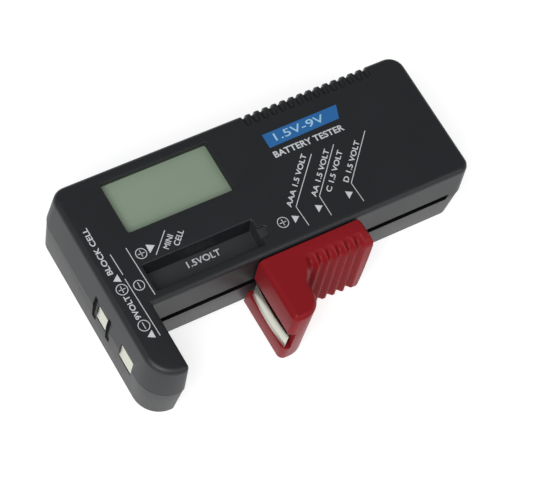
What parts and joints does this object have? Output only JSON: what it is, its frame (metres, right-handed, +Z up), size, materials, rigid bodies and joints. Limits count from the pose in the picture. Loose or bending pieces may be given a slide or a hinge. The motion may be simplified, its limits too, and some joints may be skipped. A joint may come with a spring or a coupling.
{
  "type": "battery tester",
  "caption": "L-shaped pocket battery tester with a display, a cell cradle in its top, snap contacts in one end and a sliding red contact arm along its front.",
  "frame": {"origin": "centre of the case's underside, measured without the foot that stands forward at the left end", "axes": "+X along the case to its right end, -Y to the front where the arm slides, +Z up out of the top face with the display"},
  "size_m": [0.108, 0.0602, 0.024],
  "materials": {
    "case_plastic": "fine matt texture, moulded",
    "arm_plastic": "satin, moulded",
    "contact_metal": "nickel plated, lightly rubbed",
    "screw_steel": "zinc plated",
    "display_film": "grey-green polarising film",
    "display_glass": "clear, polished",
    "display_foil": "reflective film",
    "frame_plastic": "moulded",
    "elastomer": "matt, fine layers",
    "board_laminate": "satin solder mask",
    "black_epoxy": "moulded",
    "ferrite": "dull, fine grained",
    "copper": "enamelled copper wire",
    "can_aluminium": "drawn can",
    "ceramic": "fired ceramic",
    "tinned_metal": "tinned",
    "spring_brass": "rolled strip",
    "wire_red": "extruded insulation",
    "wire_black": "extruded insulation",
    "wire_white": "extruded insulation"
  },
  "bodies": {
    "case": {"top_housing": "case_plastic", "bottom_housing": "case_plastic", "case_screws": "screw_steel", "display_polariser": "display_film", "display_front_glass": "display_glass", "display_rear_glass": "display_glass", "display_reflector": "display_foil", "display_frame": "frame_plastic", "elastomer_connector": "elastomer", "circuit_board": "board_laminate", "board_screws": "screw_steel", "processor_dome": "black_epoxy", "inductor_core": "ferrite", "inductor_winding": "copper", "capacitor_can": "can_aluminium", "capacitor_base": "black_epoxy", "boost_regulator": "black_epoxy", "regulator_legs": "tinned_metal", "diode": "black_epoxy", "resistors": "black_epoxy", "ceramic_capacitors": "ceramic", "nine_volt_plus_plate": "contact_metal", "nine_volt_minus_plate": "contact_metal", "cell_minus_plate": "contact_metal", "mini_cell_plate": "contact_metal", "contact_rail": "spring_brass", "nine_volt_plus_wire": "wire_red", "nine_volt_minus_wire": "wire_black", "cell_minus_wire": "wire_white", "solder_joints": "tinned_metal"},
    "slider": {"slider_arm": "arm_plastic", "contact_strip": "contact_metal", "wiper": "spring_brass", "wiper_rivets": "spring_brass"},
    "leaf": {"leaf_contact": "contact_metal"}
  },
  "joints": [
    {"name": "arm_slide", "type": "slide", "parent": "case", "child": "slider", "axis": [1, 0, 0], "range_m": [-0.0297, 0.0346]},
    {"name": "leaf_press", "type": "slide", "parent": "slider", "child": "leaf", "axis": [1, 0, 0], "range_m": [0, 0.0009], "stiffness_N_per_m": 600}
  ]
}
